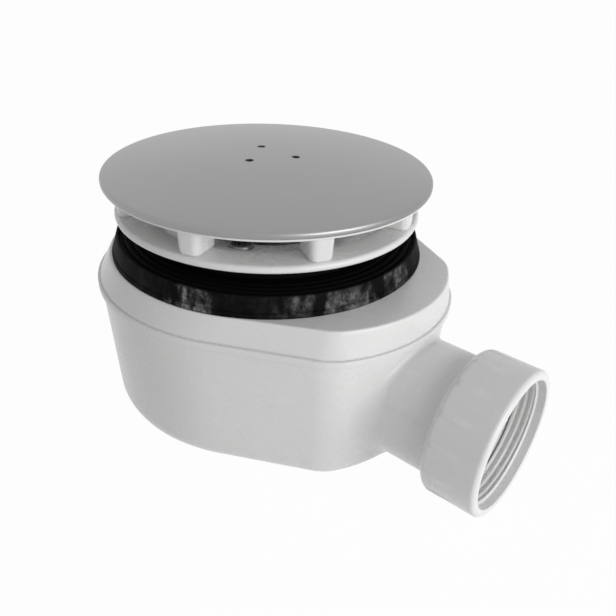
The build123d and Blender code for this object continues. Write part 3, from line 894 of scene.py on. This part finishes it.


# %% [markdown]
# ## Black rubber
# Matt and nearly black. Pale grey is painted on the outer band as a painted highlight, where the band
# catches the light. It is streaked upwards, so its clouds are squeezed round the ring, and it lies in
# two patches, a short one and a long one. The washer inside the nut is a pale rubber.

# %% Black rubber with a painted highlight on its band
def black_rubber():
    finish = Finish("seal_rubber", IOR=1.45, Specular_IOR_Level=0.05)
    x, y, z = finish.axes()
    radius = (x * x + y * y) ** 0.5
    above_foot, at_top = z.between(0.0658, 0.0664), z.between(0.0724, 0.0732)
    band = radius.between(0.0555, 0.0568) * above_foot * (1 - at_top)
    # The painted highlight lies in two patches set along the camera's sideways direction.
    along = 0.774 * x + 0.633 * y
    short_highlight_patch = along.between(-0.031, -0.026) * (1 - along.between(-0.017, -0.013))
    long_highlight_patch = along.between(0.004, 0.016) * (1 - along.between(0.046, 0.055))
    highlight_streaks = finish.clouds(1.0, 5.0, 0.6, finish.stretched((170, 170, 70))).between(0.4, 0.64)
    highlight_speckle = finish.clouds(420.0, 3.0, 0.6).between(0.42, 0.64)
    # Painted highlight: pale grey painted on the outer band where it catches the light. The near black
    # is the rubber's own colour.
    painted_highlight = band * (0.04 + 1.5 * short_highlight_patch + 0.62 * long_highlight_patch) * highlight_streaks * (0.3 + 0.7 * highlight_speckle)
    finish.feed("Base Color", finish.mixed(painted_highlight, (0.003, 0.003, 0.0032), (0.26, 0.26, 0.262)))
    finish.feed("Roughness", 0.5 + 0.25 * finish.clouds(160.0, 3.0))
    finish.bump(finish.clouds(700.0, 3.0), 0.05, 0.5)
    return finish.material


def pale_rubber():
    finish = Finish("washer_rubber", IOR=1.45, Specular_IOR_Level=0.3)
    tone = finish.clouds(140.0, 3.0)
    finish.tint(tone, (0.52, 0.52, 0.51), (0.6, 0.6, 0.59))
    finish.feed("Roughness", 0.45 + 0.2 * tone)
    return finish.material


# %% [markdown]
# ## Satin metal, screw steel and brass
# The cover is pressed metal with a satin plating: its grain is so fine that it only spreads the
# reflection. The screws are duller and a little stained, and the brass inserts are turned, so their
# marks run round the axis.

# %% Metals
def satin_metal():
    finish = Finish("satin_cover", Metallic=1.0)
    tone = finish.clouds(16.0, 3.0)
    grain = finish.clouds(2200.0, 2.0, 0.6)
    finish.tint(tone, (0.297, 0.297, 0.3), (0.318, 0.318, 0.32))
    finish.feed("Roughness", 0.3 + 0.08 * grain + 0.05 * tone)
    finish.bump(grain, 0.008, 0.4)
    return finish.material


def screw_steel():
    finish = Finish("screw_steel", Metallic=1.0)
    stain = finish.clouds(320.0, 4.0, 0.6)
    finish.tint(stain, (0.14, 0.138, 0.136), (0.27, 0.267, 0.264), 0.35, 0.65)
    finish.feed("Roughness", 0.28 + 0.25 * stain)
    finish.bump(finish.clouds(1400.0, 2.0), 0.02, 0.4)
    return finish.material


def brass():
    finish = Finish("turned_brass", Metallic=1.0)
    rings = finish.clouds(1.0, 3.0, 0.6, finish.stretched((60, 60, 2600)))
    finish.tint(rings, (0.52, 0.36, 0.14), (0.66, 0.47, 0.2), 0.35, 0.65)
    finish.feed("Roughness", 0.26 + 0.16 * rings)
    finish.bump(rings, 0.02, 0.5)
    return finish.material


FINISHES = {"white_plastic": white_plastic(), "black_rubber": black_rubber(),
            "satin_metal": satin_metal(), "screw_steel": screw_steel(), "brass": brass(),
            "pale_rubber": pale_rubber()}
for name, slot in PIECES.items():
    data = bpy.data.objects[name].data
    data.materials.clear()
    data.materials.append(FINISHES[slot])
KEPT = {"dip_tube": "white_plastic", "dip_tube_gasket": "black_rubber",
        "outlet_washer": "pale_rubber", "screw_inserts": "brass"}
for name, slot in KEPT.items():
    for place in bpy.data.objects[name].material_slots:
        place.material = FINISHES[slot]
print("finished", len(PIECES), "modelled pieces and", len(KEPT), "kept solids")

# %% [markdown]
# ## Floor, light and camera
# The trap stands on a white table in soft studio light. One large lamp on the outlet side lights the
# front wall and leaves the left wall in half shade. The sky is dimmer for the light it gives than for
# what the eye and the metal see of it, so the background is white while the plastic keeps its tones.

# %% White table and white surroundings
start_clean()
bpy.ops.mesh.primitive_plane_add(size=6.0, location=(0, 0, 0))
table = bpy.context.object
table.name = "table"
bpy.ops.object.mode_set(mode="EDIT")
bpy.ops.mesh.subdivide(number_cuts=3)
bpy.ops.object.mode_set(mode="OBJECT")


def seen_directly(nodes):
    """A wire that is 1 for what the camera, a mirror or glass sees, and 0 for light on things."""
    looked_at = nodes.node("ShaderNodeLightPath", {}, {}, "Is Camera Ray")
    outputs = looked_at.socket.node.outputs
    for name in ("Is Glossy Ray", "Is Transmission Ray"):
        looked_at = looked_at.sum("MAXIMUM", looked_at, Wire(nodes, outputs[name]))
    return looked_at


TABLE_GLOW, SKY_LIGHT = 0.97, 0.39
paper = Finish("table_white", Roughness=0.9, Specular_IOR_Level=0.0)
paper.feed("Base Color", paper.mixed(paper.clouds(3.0, 2.0), (0.85, 0.85, 0.85), (0.87, 0.87, 0.87)))
glow = paper.node("ShaderNodeEmission", {}, {})
blend = paper.node("ShaderNodeMixShader", {}, {
    0: seen_directly(paper) * TABLE_GLOW, 1: Wire(paper, paper.shader.outputs[0]), 2: glow})
paper.tree.links.new(blend.socket, paper.tree.nodes["Material Output"].inputs["Surface"])
table.data.materials.append(paper.material)

world = bpy.data.worlds.new("studio")
bpy.context.scene.world = world
world.use_nodes = True
sky = world.node_tree.nodes["Background"]
sky.inputs["Color"].default_value = (1, 1, 1, 1)
studio = Nodes(world.node_tree)
level = studio.node("ShaderNodeMapRange", {}, {
    "Value": seen_directly(studio), "To Min": SKY_LIGHT, "To Max": 1.0})
studio.tree.links.new(level.socket, sky.inputs["Strength"])
print("table glow", TABLE_GLOW, "sky light", SKY_LIGHT)

# %% [markdown]
# ## The lamp
# A large square lamp gives soft edges to the light. It is aimed at the body from the outlet side.

# %% Studio lamp
def softbox(name, place, aim, size, power):
    """A square area lamp aimed at a point."""
    start_clean()
    bpy.ops.object.light_add(type="AREA", location=place)
    lamp = bpy.context.object
    lamp.name = name
    lamp.data.shape = "SQUARE"
    lamp.data.size, lamp.data.energy = size, power
    lamp.rotation_euler = (Vector(aim) - Vector(place)).to_track_quat("-Z", "Y").to_euler()
    return lamp


softbox("front_box", place=(0.62, -0.05, 0.16), aim=(0.03, 0, 0.05), size=0.45, power=2.3)

# %% [markdown]
# ## The camera
# It looks down on the trap past the outlet. Its three directions are given and then rolled a little,
# because the photograph was not taken quite level.

# %% Camera at the photograph's angle
EYE, ROLL, LENS = Vector((0.15976, -0.16885, 0.17273)), radians(2.53), 37.99
right = Vector((0.77384, 0.63338, 0.0))
up = Vector((-0.32118, 0.39241, 0.86188))
back = Vector((0.54590, -0.66696, 0.50709))
turned_right = right * cos(ROLL) + up * sin(ROLL)
turned_up = up * cos(ROLL) - right * sin(ROLL)
start_clean()
bpy.ops.object.camera_add()
camera = bpy.context.object
camera.name = "camera"
camera.data.lens, camera.data.sensor_width = LENS, 36.0
camera.data.clip_start = 0.01
facing = Matrix((turned_right, turned_up, back)).transposed().to_4x4()
camera.matrix_world = Matrix.Translation(EYE) @ facing
bpy.context.scene.camera = camera
bpy.context.scene.view_settings.view_transform = "Standard"
print("camera at", [round(v, 3) for v in EYE])
